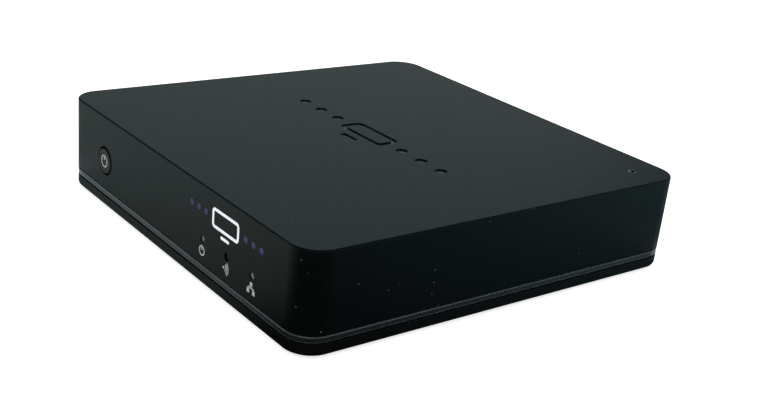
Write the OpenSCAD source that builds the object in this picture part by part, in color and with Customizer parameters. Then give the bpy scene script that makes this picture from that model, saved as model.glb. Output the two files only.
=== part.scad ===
// Streaming media player: a small square set-top box.
// Origin: centre of the plane that the feet stand on. +Z up, front towards -Y, right side +X.
// Every size is in millimetres.

/* [Body] */
// Width of the box, which is also its depth
body_w = 110; // [108:0.5:116]
// Height from the bottom of the base to the top of the cover
body_h = 23.4; // [23:0.1:24.4]
// Corner radius of the box in plan
corner_r = 6.75; // [6:0.05:8]
// Height that the feet stand proud of the base
foot_stand = 0.6; // [0.5:0.1:1.2]
// Small rounding along the top edge of the cover
top_edge_r = 0.4; // [0.2:0.05:0.6]
// How far each side leans in from the top of the cover to its bottom
draft = 0.08; // [0.06:0.02:0.3]

/* [Layers] */
// Height of the visible side of the base
base_side_h = 2.83; // [2.7:0.01:2.95]
// Rounding along the bottom edge of the base
base_edge_r = 1.1; // [0.8:0.1:1.4]
// Height of the trim ring
ring_h = 1.5; // [1.3:0.1:1.6]
// Height of the dark groove above and below the ring
groove_h = 0.27; // [0.2:0.01:0.35]
// Depth of that groove
groove_depth = 0.35; // [0.25:0.05:0.5]

/* [Walls] */
// Thickness of the cover's side walls at the top
wall = 2.3; // [2.1:0.1:2.4]
// Thickness of the cover's top
top_t = 2; // [1.6:0.1:2.4]
// Thickness of the base's floor
floor_t = 1.8; // [1.6:0.1:2.2]

/* [Power button] */
// Distance of the button to the left of the middle
button_x = 33.75; // [30:0.25:34.5]
// Height of the button's axis above the base
button_up = 12.1; // [11.9:0.02:12.8]
// Radius of the opening
button_hole_r = 3.65; // [3.4:0.05:3.8]
// Radial gap between the cap and the opening
button_gap = 0.35; // [0.25:0.05:0.4]
// Travel of the button
button_travel = 0.4; // [0.3:0.05:0.5]
// Height that the cap stands proud of the front
button_proud = 0.15; // [0:0.05:0.3]

/* [Front lights] */
// Distance of the first front hole to the right of the middle
lights_x = 15.3; // [14:0.1:16.5]
// Distance from one front hole to the next
lights_pitch = 10.3; // [9.5:0.1:10.5]
// Height of the front holes above the base
lights_up = 10.8; // [10.4:0.1:11.2]
// Radius of the front holes
light_hole_r = 0.85; // [0.75:0.05:1]
// Depth of the tips in the front holes
light_tip_depth = 0.4; // [0.3:0.05:0.8]

/* [Marks] */
// Width of the screen mark cut into the top
top_mark_w = 17; // [12:0.5:20]
// Depth of the marks cut into the top
top_mark_depth = 0.35; // [0.2:0.05:0.6]
// Width of the screen mark printed on the front
front_mark_w = 11; // [8:0.5:12]
// Distance of the front mark to the right of the middle
front_mark_x = 24.7; // [22:0.1:26]
// Thickness of the printed ink
ink_t = 0.05; // [0.02:0.01:0.08]

/* [Board] */
// Height of the board's underside above the base
board_up = 5.4; // [5.3:0.1:5.5]
// Thickness of the board
board_t = 1.6; // [1.5:0.1:1.7]

/* [Sockets] */
// Place of the power inlet along the rear
inlet_x = 41; // [40:0.5:42]
// Place of the audio and video jack along the rear
av_x = 29.5; // [29:0.25:30]
// Place of the video socket along the rear
video_x = 14; // [13.5:0.25:15]
// Place of the network jack along the rear
network_x = -6; // [-7:0.25:-5]
// Place of the first data socket along the rear
usb_first_x = -24; // [-25:0.25:-23.5]
// Distance from the first data socket to the second
usb_pitch = 16.5; // [15.5:0.25:17]

/* [Hidden] */
$fn = 64;

// Layers, counted up from the plane that the feet stand on
base_z = foot_stand;
base_top_z = base_z + base_side_h;
ring_z = base_top_z + groove_h;
ring_top_z = ring_z + ring_h;
cover_z = ring_top_z + groove_h;
cover_top_z = base_z + body_h;
ceiling_z = cover_top_z - top_t;
floor_z = base_z + floor_t;
half = body_w / 2;
cover_side_h = cover_top_z - cover_z;
draft_angle = atan(draft / cover_side_h);
side_inset = draft + 0.02;
plate_edge = 3.2;

// The base's locating lip, inside the cover's wall
lip_out = wall + 0.2;
lip_in = lip_out + 1.2;
lip_top_z = base_z + 6;

// The thin part of the rear wall, where the sockets are
bay_y = half - 1.3;
bay_half_w = 48;
bay_top_z = 19.6;
nose_y = bay_y - 0.1;

// Case screws, feet and board screws
case_screw_at = [[46, -44], [-46, -44], [46, 30], [-46, 30]];
foot_x = 37;
foot_y = 41;
foot_r = 5.5;
foot_recess = 0.6;
board_screw_at = [[38, -40], [-38, -40], [38, 34], [-38, 34]];
case_boss_r = 3.2;
case_boss_z = base_z + 4.4;
case_shank_r = 1.25;
counterbore_r = 2.7;
counterbore_top_z = base_z + 2.8;

// Board and what stands on it
board_z = base_z + board_up;
board_top_z = board_z + board_t;
board_x = 49.5;
board_front_y = -48;
board_rear_y = 50;
notch_r = case_boss_r + 1.2;
button_z = base_z + button_up;
light_z = base_z + lights_up;
wall_in_y = -(half - wall);
chip_at = [0, 2];

// Button and switch along Y
cap_front_y = -half - button_proud;
cap_r = button_hole_r - button_gap;
flange_y = wall_in_y + 0.15;
flange_t = 1;
flange_r = cap_r + 1.2;
switch_front_y = -46.5;
plunger_front_y = -48.4;
stem_gap = 0.05;
plunger_depth = 1.2;
guide_end_y = switch_front_y + plunger_depth + button_travel + 0.2;

// Heights of the sockets' middles
inlet_z = board_top_z + 6.5;
av_z = board_top_z + 3.2;
video_z = board_top_z + 3.2;
network_z = board_top_z + 5.75;
usb_z = board_top_z + 3.1;
network_cavity_z = network_z - 3.9;
network_cavity_top_z = network_cavity_z + 8;

// Heat sink
sink_w = 34;
sink_base_t = 2;
sink_h = 9;
sink_pin_x = 20.5;
sink_pin_y = 12;
sink_pin_at = [for (s = [-1, 1]) [chip_at[0] + s * sink_pin_x, chip_at[1] + s * sink_pin_y]];
chip_t = 1.2;
pad_t = 0.5;
sink_z = board_top_z + chip_t + pad_t;

// ---------- Shared shapes ----------

// A rectangle with round corners, centred
module rounded_rect(w, d, r) {
    square([w - 2 * r, d], center = true);
    square([w, d - 2 * r], center = true);
    for (sx = [-1, 1], sy = [-1, 1])
        translate([sx * (w / 2 - r), sy * (d / 2 - r)]) circle(r);
}

// The body's outline in plan, moved in by inset
module body_outline(inset) {
    rounded_rect(body_w - 2 * inset, body_w - 2 * inset, corner_r - inset);
}

// Runs a section round the body. In the section, x = 0 is the body's outer line and y is height.
module around_body() {
    straight = body_w - 2 * corner_r;
    for (turn = [0:3])
        rotate([0, 0, 90 * turn]) {
            translate([half - corner_r, half - corner_r, 0])
                rotate_extrude(angle = 90)
                    translate([corner_r, 0]) children();
            translate([half, 0, 0])
                rotate([90, 0, 0])
                    linear_extrude(straight, center = true) children();
        }
}

// What is cut from a section's outer corner to round it. flip is 1 at the top and -1 at the bottom.
module corner_cut(r, flip) {
    difference() {
        translate([0, flip > 0 ? 0 : -r - 1]) square([r + 1, r + 1]);
        circle(r);
    }
}

// A block given by its middle in x, its span in y and its span in z
module block(x, y0, y1, z0, z1, w) {
    translate([x - w / 2, y0, z0]) cube([w, y1 - y0, z1 - z0]);
}

// A round bar along +Y from y0 to y1
module bar_y(x, z, y0, y1, r) {
    translate([x, y0, z]) rotate([-90, 0, 0]) cylinder(h = y1 - y0, r = r);
}

// Places flat shapes on the cover's leaning front face, where y is height measured down from the top
module on_front_face() {
    translate([0, -half, cover_top_z])
        rotate([90 + draft_angle, 0, 0]) children();
}

// A slot with round ends along Y
module round_slot(length, width) {
    translate([-width / 2, -(length - width) / 2]) square([width, length - width]);
    for (s = [-1, 1])
        translate([0, s * (length - width) / 2]) circle(width / 2);
}

// ---------- Plain pictograms ----------

// A screen on its foot, w wide
module screen_icon(w, line) {
    h = w * 0.42;
    difference() {
        rounded_rect(w, h, line * 1.5);
        rounded_rect(w - 2 * line, h - 2 * line, line * 0.6);
    }
    translate([-w * 0.16, -h / 2 - 2.2 * line]) square([w * 0.32, line]);
}

// Three dots in a row on each side of the middle
module dot_rows(first, pitch, r) {
    for (side = [-1, 1], i = [0:2])
        translate([side * (first + i * pitch), 0]) circle(r);
}

// The usual on and off sign: an open ring and a bar
module power_icon(r, line) {
    gap_half = line * 1.5;
    difference() {
        circle(r);
        circle(r - line);
        translate([-gap_half, 0]) square([2 * gap_half, r + 1]);
    }
    translate([-line / 2, r * 0.15]) square([line, r * 0.95]);
}

// Three quarter rings opening to the right
module waves_icon(r, line) {
    circle(line * 1.25);
    for (share = [0.44, 0.72, 1])
        intersection() {
            difference() {
                circle(r * share);
                circle(r * share - line);
            }
            rotate([0, 0, -45]) square([r, r]);
        }
}

// Three small squares joined by lines
module network_icon(w, line) {
    box = w * 0.3;
    translate([-box / 2, w * 0.12]) square([box, box]);
    for (s = [-1, 1])
        translate([s * w * 0.35 - box / 2, -w * 0.42]) square([box, box]);
    translate([-w * 0.35 - line / 2, -line / 2]) square([w * 0.7 + line, line]);
    translate([-line / 2, 0]) square([line, w * 0.15]);
    for (s = [-1, 1])
        translate([s * w * 0.35 - line / 2, -w * 0.15]) square([line, w * 0.15]);
}

// ---------- Housing ----------

module cover_section() {
    difference() {
        polygon([
            [-draft, cover_z], [0, cover_top_z], [-plate_edge, cover_top_z],
            [-plate_edge, ceiling_z], [-wall, ceiling_z], [-wall, ring_top_z],
            [-draft - groove_depth, ring_top_z], [-draft - groove_depth, cover_z]
        ]);
        translate([-top_edge_r, cover_top_z - top_edge_r]) corner_cut(top_edge_r, 1);
    }
}

module cover_boss(at) {
    difference() {
        union() {
            translate([at[0], at[1], case_boss_z])
                cylinder(h = ceiling_z - case_boss_z + 0.5, r = case_boss_r);
            translate([at[0] > 0 ? at[0] : -(half - wall) - 0.2, at[1] - 0.6, board_top_z + 1])
                cube([half - wall + 0.2 - abs(at[0]), 1.2, ceiling_z - board_top_z - 0.5]);
        }
        translate([at[0], at[1], case_boss_z - 1]) cylinder(h = 11, r = case_shank_r + 0.05);
    }
}

// A tube on the inside of the front wall that holds a button, a lens or a light guide
module front_collar(x, z, r_in, r_out, length) {
    difference() {
        bar_y(x, z, wall_in_y - 0.3, wall_in_y + length, r_out);
        bar_y(x, z, wall_in_y - 0.1, wall_in_y + length + 1, r_in);
    }
}

module rear_window(x, z, w, h) {
    translate([x, half + 1, z])
        rotate([90, 0, 0])
            linear_extrude(4) rounded_rect(w, h, 0.6);
}

module top_cover() color([0.07, 0.07, 0.07])
    difference() {
        union() {
            around_body() cover_section();
            translate([0, 0, ceiling_z])
                linear_extrude(top_t) body_outline(plate_edge);
            for (at = case_screw_at) cover_boss(at);
            front_collar(-button_x, button_z, flange_r + 0.3, flange_r + 1.4, 3.2);
            for (i = [0, 2])
                front_collar(lights_x + i * lights_pitch, light_z, 1, 1.9, 2);
            front_collar(lights_x + lights_pitch, light_z, 2.3, 3.1, 1.7);
        }
        bar_y(-button_x, button_z, -half - 1, wall_in_y + 1, button_hole_r);
        for (i = [0:2])
            bar_y(lights_x + i * lights_pitch, light_z, -half - 1, wall_in_y + 1, light_hole_r);
        translate([-bay_half_w, half - wall - 0.5, ring_top_z - 1])
            cube([2 * bay_half_w, bay_y - half + wall + 0.5, bay_top_z - ring_top_z + 1]);
        bar_y(inlet_x, inlet_z, bay_y - 1, half + 1, 4.6);
        bar_y(av_x, av_z, bay_y - 1, half + 1, 3.6);
        rear_window(video_x, video_z, 16.4, 7.2);
        rear_window(network_x, network_z, 16.6, 12);
        for (i = [0, 1])
            rear_window(usb_first_x - i * usb_pitch, usb_z, 14.2, 6.8);
        translate([0, 0, cover_top_z - top_mark_depth]) linear_extrude(1) {
            screen_icon(top_mark_w, 1.5);
            dot_rows(top_mark_w / 2 + 5, 7.5, 1.5);
        }
        translate([47.3, 45.4, cover_top_z - 0.25]) cylinder(h = 1, r = 0.7);
    }

module trim_ring() color([0.16, 0.16, 0.17])
    around_body()
        translate([-wall, ring_z]) square([wall - side_inset, ring_h]);

module base_section() {
    difference() {
        polygon([
            [-lip_in, base_z], [-side_inset, base_z], [-side_inset, base_top_z],
            [-side_inset - groove_depth, base_top_z], [-side_inset - groove_depth, ring_z],
            [-lip_out, ring_z], [-lip_out, lip_top_z], [-lip_in, lip_top_z]
        ]);
        translate([-side_inset - base_edge_r, base_z + base_edge_r]) corner_cut(base_edge_r, -1);
    }
}

module base_tray() color([0.06, 0.06, 0.06])
    difference() {
        union() {
            around_body() base_section();
            translate([0, 0, base_z]) linear_extrude(floor_t) body_outline(lip_in);
            for (at = case_screw_at)
                translate([at[0], at[1], base_z]) cylinder(h = case_boss_z - base_z, r = 4);
            for (at = board_screw_at)
                translate([at[0], at[1], base_z]) cylinder(h = board_up, r = 3);
        }
        for (at = case_screw_at) translate([at[0], at[1], 0]) {
            cylinder(h = counterbore_top_z, r = counterbore_r);
            cylinder(h = case_boss_z + 1, r = case_shank_r + 0.25);
        }
        for (at = board_screw_at)
            translate([at[0], at[1], floor_z]) cylinder(h = board_up, r = 1.05);
        for (sx = [-1, 1], sy = [-1, 1])
            translate([sx * foot_x, sy * foot_y, 0]) cylinder(h = base_z + foot_recess, r = foot_r + 0.1);
        for (row = [-1, 1], i = [-5:5])
            translate([i * 4.6, row * 24, 0]) linear_extrude(floor_z + 1) round_slot(15, 1.8);
        linear_extrude(base_z + 0.2) rounded_rect(50, 24, 1.2);
    }

module rating_label() color([0.75, 0.75, 0.74])
    translate([0, 0, base_z + 0.05]) linear_extrude(0.15) rounded_rect(49.6, 23.6, 1);

module front_marks() color([0.85, 0.85, 0.88])
    on_front_face() linear_extrude(ink_t) {
        translate([front_mark_x, -5.6]) {
            screen_icon(front_mark_w, 0.7);
            dot_rows(front_mark_w / 2 + 2.7, 3.1, 0.75);
        }
        translate([lights_x, -15.3]) power_icon(1.2, 0.34);
        translate([lights_x + lights_pitch - 0.9, -15.3]) waves_icon(2.07, 0.24);
        translate([lights_x + 2 * lights_pitch, -15.3]) network_icon(3.1, 0.32);
    }

module foot(sx, sy) color([0.12, 0.12, 0.12])
    translate([sx * foot_x, sy * foot_y, 0])
        rotate_extrude() difference() {
            square([foot_r, foot_stand + foot_recess]);
            translate([foot_r - 0.4, 0.4]) corner_cut(0.4, -1);
        }

// A pan-head screw with its head down at z = 0 and a cross recess in it
module screw(head_r, head_h, shank_r, length) {
    difference() {
        union() {
            cylinder(h = head_h, r = head_r);
            cylinder(h = head_h + length, r = shank_r);
        }
        for (turn = [0, 90])
            rotate([0, 0, turn])
                translate([-head_r * 0.62, -0.25, -1]) cube([head_r * 1.24, 0.5, 1 + head_h * 0.55]);
    }
}

module case_screws() color([0.3, 0.3, 0.31])
    for (at = case_screw_at)
        translate([at[0], at[1], counterbore_top_z - 1.6]) screw(2.3, 1.6, case_shank_r, 8);

module board_screws() color([0.6, 0.6, 0.62])
    for (at = board_screw_at)
        translate([at[0], at[1], board_top_z + 1.3]) mirror([0, 0, 1]) screw(2.1, 1.3, 1, 4.2);

// ---------- Power button and its switch ----------

module power_button() color([0.2, 0.2, 0.21])
    union() {
        translate([-button_x, cap_front_y, button_z])
            rotate([-90, 0, 0])
                rotate_extrude() difference() {
                    square([cap_r, flange_y - cap_front_y]);
                    translate([cap_r - 0.25, 0.25]) corner_cut(0.25, -1);
                }
        bar_y(-button_x, button_z, flange_y, flange_y + flange_t, flange_r);
        bar_y(-button_x, button_z, flange_y + flange_t, plunger_front_y - stem_gap, 1.2);
    }

module power_symbol() color([0.9, 0.9, 0.9])
    translate([-button_x, cap_front_y, button_z])
        rotate([90, 0, 0]) linear_extrude(0.04) power_icon(1.6, 0.38);

module switch_plunger() color([0.1, 0.1, 0.1])
    bar_y(-button_x, button_z, plunger_front_y, switch_front_y + plunger_depth, 1.7);

module switch_body() color([0.08, 0.08, 0.08])
    difference() {
        block(-button_x, switch_front_y, switch_front_y + 3.4, button_z - 3, button_z + 3, 6);
        bar_y(-button_x, button_z, switch_front_y - 1, guide_end_y, 1.78);
    }

// The metal bracket: two side plates down to the board with a back plate between them
module switch_frame() color([0.72, 0.72, 0.74]) {
    back_y = switch_front_y + 3.4;
    for (s = [-1, 1])
        translate([-button_x + s * 3.2 - 0.2, switch_front_y + 0.4, board_top_z])
            cube([0.4, 3.4, button_z + 2.6 - board_top_z]);
    block(-button_x, back_y, back_y + 0.4, board_top_z, button_z + 2.6, 6.8);
}

// ---------- Front lights ----------

module light_guide(i) color([0.85, 0.87, 0.88]) {
    x = lights_x + i * lights_pitch;
    union() {
        bar_y(x, light_z, -half + light_tip_depth, -46, light_hole_r - 0.05);
        bar_y(x, light_z, wall_in_y + 2.1, wall_in_y + 2.7, 1.6);
        block(x, -47.3, -45.7, board_top_z + 0.8, light_z + 0.8, 1.6);
    }
}

module infrared_window() color([0.18, 0.05, 0.06]) {
    x = lights_x + lights_pitch;
    union() {
        bar_y(x, light_z, -half + light_tip_depth, wall_in_y + 0.2, light_hole_r - 0.05);
        bar_y(x, light_z, wall_in_y + 0.05, wall_in_y + 1.3, 2.2);
    }
}

module infrared_receiver() color([0.1, 0.1, 0.12]) {
    x = lights_x + lights_pitch;
    union() {
        block(x, -47.6, -44.6, board_top_z, light_z + 3, 6);
        translate([x, -47.6, light_z]) intersection() {
            sphere(2.2);
            translate([-3, -3, -3]) cube([6, 3.2, 6]);
        }
    }
}

module status_leds() color([0.9, 0.9, 0.75])
    for (i = [0, 2])
        block(lights_x + i * lights_pitch, -46.9, -46.1, board_top_z, board_top_z + 0.7, 1.6);

// ---------- Board ----------

module main_board() color([0.05, 0.22, 0.12])
    difference() {
        translate([-board_x, board_front_y, board_z])
            cube([2 * board_x, board_rear_y - board_front_y, board_t]);
        for (at = case_screw_at)
            translate([at[0], at[1], board_z - 1]) cylinder(h = board_t + 2, r = notch_r);
        for (at = case_screw_at)
            translate([at[0] > 0 ? at[0] : at[0] - 4, at[1] - notch_r, board_z - 1])
                cube([4, 2 * notch_r, board_t + 2]);
        for (at = board_screw_at)
            translate([at[0], at[1], board_z - 1]) cylinder(h = board_t + 2, r = 1.3);
        for (at = sink_pin_at)
            translate([at[0], at[1], board_z - 1]) cylinder(h = board_t + 2, r = 1.5);
    }

module chip(x, y, w, d, h) {
    translate([x - w / 2, y - d / 2, board_top_z]) cube([w, d, h]);
}

module processor() color([0.1, 0.1, 0.11])
    chip(chip_at[0], chip_at[1], 16, 16, chip_t);

module thermal_pad() color([0.6, 0.65, 0.7])
    translate([0, 0, chip_t]) chip(chip_at[0], chip_at[1], 14, 14, pad_t);

module heat_sink() color([0.7, 0.71, 0.73])
    translate([chip_at[0], chip_at[1], sink_z])
        difference() {
            union() {
                translate([-sink_w / 2, -sink_w / 2, 0]) cube([sink_w, sink_w, sink_base_t]);
                for (i = [-4:4])
                    translate([i * 4 - 0.6, -sink_w / 2, 0]) cube([1.2, sink_w, sink_h]);
                for (s = [-1, 1])
                    translate([s * (sink_pin_x - 0.25) - 3.75, s * sink_pin_y - 3.5, 0])
                        cube([7.5, 7, sink_base_t]);
            }
            for (s = [-1, 1])
                translate([s * sink_pin_x, s * sink_pin_y, -1]) cylinder(h = 4, r = 1.5);
        }

// Push pins with a round head, a stem and a barbed end under the board
module heat_sink_pins() color([0.85, 0.85, 0.82])
    for (at = sink_pin_at)
        translate([at[0], at[1], 0]) {
            translate([0, 0, sink_z + sink_base_t]) cylinder(h = 1.6, r = 2.6);
            translate([0, 0, board_z - 1]) cylinder(h = sink_z + sink_base_t + 0.5 - board_z + 1, r = 1.4);
            translate([0, 0, board_z - 1.4]) cylinder(h = 1.3, r1 = 1.2, r2 = 1.9);
        }

module memory_chips() color([0.09, 0.09, 0.1])
    for (y = [-8, 10]) chip(-29, y, 9, 13.3, 1.1);

module storage_chip() color([0.09, 0.09, 0.1])
    chip(8, -28, 11.5, 13, 1);

module power_inductors() color([0.24, 0.24, 0.25])
    for (y = [-2, 6, 14]) chip(30, y, 5.5, 5.5, 3);

module filter_capacitors() color([0.75, 0.76, 0.78])
    for (y = [-2, 6, 14])
        translate([39, y, board_top_z]) cylinder(h = 7.7, r = 3.15);

module clock_crystal() color([0.8, 0.8, 0.82])
    translate([-12, -27, board_top_z]) linear_extrude(3.2) rounded_rect(11, 4.6, 2.2);

module network_transformer() color([0.1, 0.1, 0.1])
    chip(network_x, 29, 13, 9.5, 5);

module chip_components() color([0.55, 0.42, 0.3])
    for (i = [0:5], j = [0:2]) chip(-42 + i * 2.8, -24 + j * 2.4, 1.6, 0.8, 0.5);

module wireless_module() color([0.08, 0.2, 0.3])
    chip(-36, 24, 12, 12, 0.8);

module wireless_shield() color([0.75, 0.75, 0.77])
    translate([-36, 24, board_top_z + 0.8])
        difference() {
            translate([-5.2, -5.2, 0]) cube([10.4, 10.4, 1.6]);
            translate([-5, -5, -1]) cube([10, 10, 2.4]);
        }

// Folded sheet-metal aerials, one at each side
module wireless_antennas() color([0.82, 0.8, 0.7])
    for (s = [-1, 1]) {
        translate([s * 46 - 2.5, -16, board_top_z + 5]) cube([5, 14, 0.3]);
        for (y = [-16, -12])
            translate([s * 46 - 0.6, y, board_top_z]) cube([1.2, 0.3, 5.1]);
    }

// ---------- Sockets ----------

module power_inlet() color([0.07, 0.07, 0.07])
    difference() {
        union() {
            block(inlet_x, nose_y - 13, nose_y - 3, board_top_z, board_top_z + 11, 9);
            block(inlet_x, nose_y - 3, nose_y, inlet_z - 3.9, inlet_z + 3.9, 7.8);
        }
        bar_y(inlet_x, inlet_z, nose_y - 10, nose_y + 1, 3.15);
    }

module power_inlet_pin() color([0.82, 0.82, 0.84])
    bar_y(inlet_x, inlet_z, nose_y - 10, nose_y - 1, 1.05);

module av_jack() color([0.08, 0.08, 0.08])
    difference() {
        union() {
            block(av_x, nose_y - 14, nose_y - 1.5, board_top_z, board_top_z + 6.4, 7);
            bar_y(av_x, av_z, nose_y - 2, nose_y, 3);
        }
        bar_y(av_x, av_z, nose_y - 12, nose_y + 1, 1.8);
    }

// A sheet-metal socket sleeve, open at the rear face of the box
module sleeve(x, z, w, h, depth, sheet) {
    difference() {
        translate([x, nose_y, z]) rotate([90, 0, 0]) linear_extrude(depth) rounded_rect(w, h, 0.6);
        translate([x, nose_y + 1, z])
            rotate([90, 0, 0])
                linear_extrude(depth + 1 - sheet) rounded_rect(w - 2 * sheet, h - 2 * sheet, 0.4);
    }
}

// The block at the back of a sleeve with the flat tongue that carries the contacts
module tongue(x, z, w, h, depth, sheet, tongue_w, tongue_t, tongue_l, tongue_up) {
    clear = 0.03;
    back_y = nose_y - depth + sheet + clear;
    block_l = depth - sheet - tongue_l - 1.5;
    block_rise = h / 2 - sheet - clear - 0.1;
    tongue_z = z + tongue_up - tongue_t / 2;
    union() {
        block(x, back_y, back_y + block_l, z - block_rise, z + block_rise, w - 2 * sheet - 0.3);
        block(x, back_y, back_y + block_l + tongue_l, tongue_z, tongue_z + tongue_t, tongue_w);
    }
}

module video_socket_shell() color([0.75, 0.75, 0.77]) sleeve(video_x, video_z, 15.2, 6, 11.8, 0.35);

module video_socket_tongue() color([0.08, 0.08, 0.08])
    tongue(video_x, video_z, 15.2, 6, 11.8, 0.35, 11.9, 1.2, 7.5, 0);

module usb_shell(i) color([0.75, 0.75, 0.77])
    sleeve(usb_first_x - i * usb_pitch, usb_z, 13.1, 5.8, 14, 0.3);

module usb_tongue(i) color([0.9, 0.9, 0.9])
    tongue(usb_first_x - i * usb_pitch, usb_z, 13.1, 5.8, 14, 0.3, 11.1, 1.85, 8.4, 0.9);

module network_jack_body() color([0.09, 0.09, 0.09])
    difference() {
        block(network_x, nose_y - 16, nose_y - 0.3, board_top_z + 0.05, network_z + 5.4, 15.4);
        block(network_x, nose_y - 12.5, nose_y + 1, network_cavity_z, network_cavity_top_z, 11.9);
        block(network_x, nose_y - 9, nose_y + 1, network_cavity_z - 1.2, network_cavity_z + 1, 6.4);
    }

module network_jack_shield() color([0.75, 0.75, 0.77])
    difference() {
        block(network_x, nose_y - 16.3, nose_y, board_top_z, network_z + 5.75, 16);
        block(network_x, nose_y - 16.05, nose_y - 0.25, board_top_z - 1, network_z + 5.5, 15.5);
        block(network_x, nose_y - 5, nose_y + 1, network_cavity_z, network_cavity_top_z, 11.9);
        block(network_x, nose_y - 5, nose_y + 1, network_cavity_z - 1.2, network_cavity_z + 1, 6.4);
    }

// Eight spring wires that slope down from the ceiling of the jack
module network_jack_contacts() color([0.85, 0.7, 0.3])
    for (i = [0:7])
        translate([network_x - 3.57 + i * 1.02 - 0.15, nose_y - 3, network_cavity_top_z])
            rotate([14, 0, 0]) translate([0, -8, -0.3]) cube([0.3, 8, 0.3]);

// ---------- Nodes ----------

top_cover();
trim_ring();
base_tray();
rating_label();
front_marks();
foot(-1, -1);  // foot_front_left
foot(1, -1);  // foot_front_right
foot(-1, 1);  // foot_rear_left
foot(1, 1);  // foot_rear_right
case_screws();
board_screws();
power_button();
power_symbol();
switch_plunger();
switch_body();
switch_frame();
light_guide(0);  // power_light_guide
light_guide(2);  // network_light_guide
infrared_window();
infrared_receiver();
status_leds();
main_board();
processor();
thermal_pad();
heat_sink();
heat_sink_pins();
memory_chips();
storage_chip();
power_inductors();
filter_capacitors();
clock_crystal();
network_transformer();
chip_components();
wireless_module();
wireless_shield();
wireless_antennas();
power_inlet();
power_inlet_pin();
av_jack();
video_socket_shell();
video_socket_tongue();
usb_shell(0);  // usb_shell_1
usb_tongue(0);  // usb_tongue_1
usb_shell(1);  // usb_shell_2
usb_tongue(1);  // usb_tongue_2
network_jack_body();
network_jack_shield();
network_jack_contacts();
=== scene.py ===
"""Looks for the streaming media player: detailed shells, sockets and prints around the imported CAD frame."""

import math

import bmesh
import bpy
from mathutils import Matrix, Vector


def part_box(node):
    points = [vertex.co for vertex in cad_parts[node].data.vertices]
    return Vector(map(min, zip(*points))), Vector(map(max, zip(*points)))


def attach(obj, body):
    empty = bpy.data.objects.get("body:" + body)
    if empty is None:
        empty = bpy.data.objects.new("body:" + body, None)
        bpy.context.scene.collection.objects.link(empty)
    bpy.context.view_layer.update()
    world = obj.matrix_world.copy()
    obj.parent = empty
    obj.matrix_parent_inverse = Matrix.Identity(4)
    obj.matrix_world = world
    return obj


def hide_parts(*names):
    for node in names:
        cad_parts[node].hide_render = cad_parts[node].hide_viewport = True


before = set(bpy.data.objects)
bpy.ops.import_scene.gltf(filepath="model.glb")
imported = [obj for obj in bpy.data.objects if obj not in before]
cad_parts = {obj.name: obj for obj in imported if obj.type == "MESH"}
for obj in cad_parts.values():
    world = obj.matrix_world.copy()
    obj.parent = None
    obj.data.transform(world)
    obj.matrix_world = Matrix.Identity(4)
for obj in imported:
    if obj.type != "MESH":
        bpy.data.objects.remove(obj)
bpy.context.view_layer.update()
MM = 0.001

# ---------------------------------------------------------------- sizes read from the frame

COVER_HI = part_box("top_cover")[1]
RING_LO, RING_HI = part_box("trim_ring")
BASE_LO, BASE_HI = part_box("base_tray")
CAP_LO, CAP_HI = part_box("power_button")
LABEL_LO, LABEL_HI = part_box("rating_label")

HALF = COVER_HI.x
TOP_Z = COVER_HI.z
CORNER_R = 6.75 * MM
DRAFT = 0.08 * MM
GROOVE_DEPTH = 0.35 * MM
GROOVE_H = 0.27 * MM
TOP_EDGE_R = 0.4 * MM
WALL = 2.3 * MM
TOP_T = 2.0 * MM
SHELL_Z = RING_HI.z + GROOVE_H
SIDE_H = TOP_Z - SHELL_Z
DRAFT_ANGLE = math.atan(DRAFT / SIDE_H)
SIDE_INSET = DRAFT + 0.02 * MM
BASE_TOP_Z = RING_LO.z - GROOVE_H
LIP_OUT = WALL + 0.2 * MM
LIP_IN = LIP_OUT + 1.2 * MM
FLOOR_T = 1.8 * MM
BUTTON_HOLE_R = 3.65 * MM
LIGHT_HOLE_R = 0.85 * MM
CASE_SCREW_X = 46 * MM
CASE_SCREW_Y = (-44 * MM, 30 * MM)
SCREEN_SHAPE = 0.42  # height of the screen sign as a share of its width


def centre(node):
    """The middle of a CAD node's box."""
    low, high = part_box(node)
    return (low + high) / 2


LIGHT_Z = centre("infrared_window").z
AV_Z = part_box("av_jack")[0].z + 3.2 * MM  # height of the middle of the jack's bore


# ---------------------------------------------------------------- mesh helpers


def new_object(name, bm, smooth_angle=35):
    """Turns a bmesh into an object with smooth faces and sharp edges past the angle."""
    bmesh.ops.recalc_face_normals(bm, faces=bm.faces)
    mesh = bpy.data.meshes.new(name)
    bm.to_mesh(mesh)
    bm.free()
    mesh.shade_smooth()
    mesh.set_sharp_from_angle(angle=math.radians(smooth_angle))
    obj = bpy.data.objects.new(name, mesh)
    bpy.context.scene.collection.objects.link(obj)
    return obj


def rounded_loop(half_x, half_y, radius, steps):
    """Points round a rounded rectangle, anticlockwise, as (x, y) pairs."""
    radius = max(radius, 0.01 * MM)
    points = []
    for quarter, (sx, sy) in enumerate(((1, 1), (-1, 1), (-1, -1), (1, -1))):
        cx, cy = sx * (half_x - radius), sy * (half_y - radius)
        for i in range(steps + 1):
            turn = math.pi / 2 * (quarter + i / steps)
            points.append((cx + radius * math.cos(turn), cy + radius * math.sin(turn)))
    return points


def bridge(bm, lower, upper):
    """Joins two loops of vertices with four-sided faces."""
    count = len(lower)
    for i in range(count):
        j = (i + 1) % count
        bm.faces.new((lower[i], lower[j], upper[j], upper[i]))


def sweep(bm, half_x, half_y, radius, section, steps=24, closed=False):
    """Runs a section of (inset, height) points round a rounded rectangle.
    An open section is closed with a flat face at each end; a closed one joins its last point to its first."""
    loops = []
    for inset, height in section:
        outline = rounded_loop(half_x - inset, half_y - inset, radius - inset, steps)
        loops.append([bm.verts.new((x, y, height)) for x, y in outline])
    for lower, upper in zip(loops, loops[1:]):
        bridge(bm, lower, upper)
    if closed:
        bridge(bm, loops[-1], loops[0])
    else:
        bm.faces.new(loops[0])
        bm.faces.new(loops[-1])
    return loops


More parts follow.
